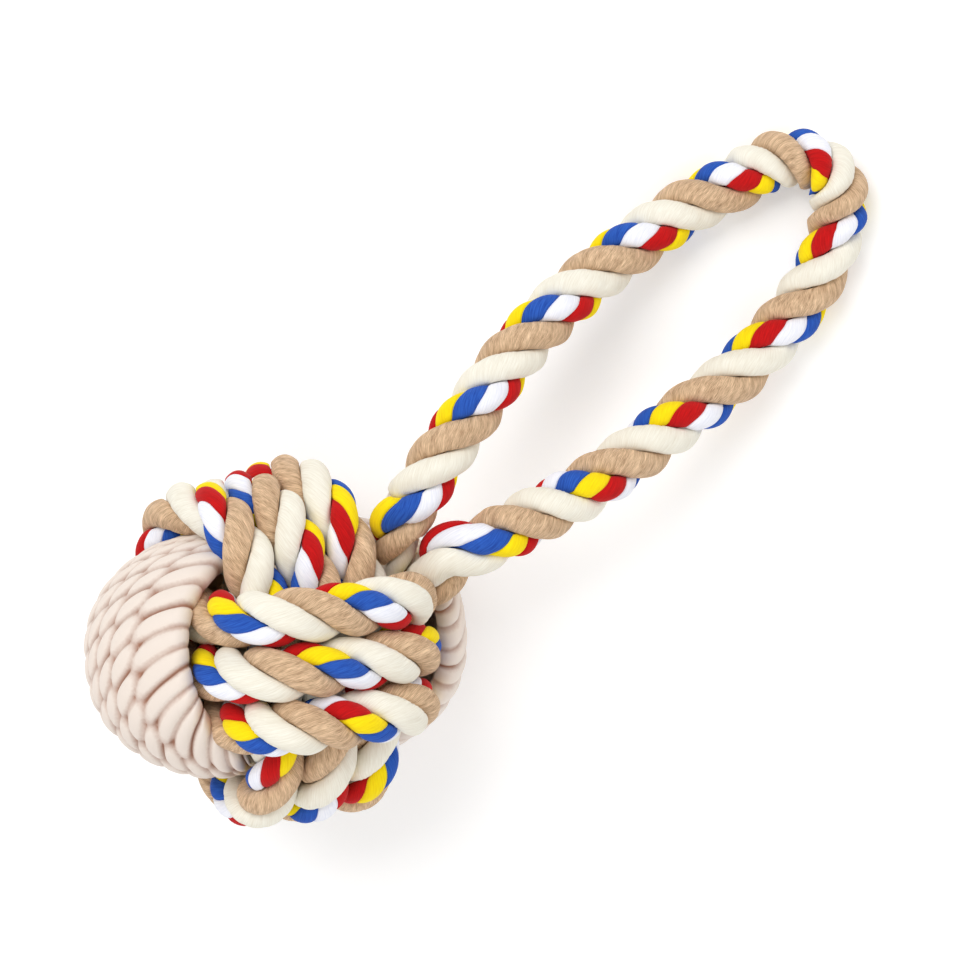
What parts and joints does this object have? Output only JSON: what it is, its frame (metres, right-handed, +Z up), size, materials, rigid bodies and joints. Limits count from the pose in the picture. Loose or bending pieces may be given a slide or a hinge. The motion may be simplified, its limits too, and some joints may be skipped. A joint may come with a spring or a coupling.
{
  "type": "rope dog toy",
  "caption": "Rope tug toy: a fist knot of coloured three-strand rope and a ridged moulded ring round a core ball, with a long rope loop handle that flexes where it leaves the knot.",
  "frame": {"origin": "on the floor under the middle of the whole toy as it lies", "axes": "+X from the knot towards the handle's tip, +Z up, +Y to the left of the handle seen from the knot"},
  "size_m": [0.2628, 0.1052, 0.102],
  "materials": {
    "cotton_rope": "laid rope of an ivory cotton, a jute and a red, yellow, blue and white strand",
    "ring_rubber": "matt pinkish-beige moulded rubber with rope-look ridges",
    "core_rubber": "matt plain"
  },
  "bodies": {
    "knot": {"core_ball": "core_rubber", "cross_winding": "cotton_rope", "upright_winding": "cotton_rope", "moulded_ring": "ring_rubber"},
    "handle": {"handle_loop": "cotton_rope"}
  },
  "joints": [
    {"name": "handle_flex", "type": "hinge", "parent": "knot", "child": "handle", "pos_m": [-0.02691, -0.00504, 0.05232], "axis": [0.2481, -0.9687, 0], "range_deg": [-45, 65]}
  ]
}
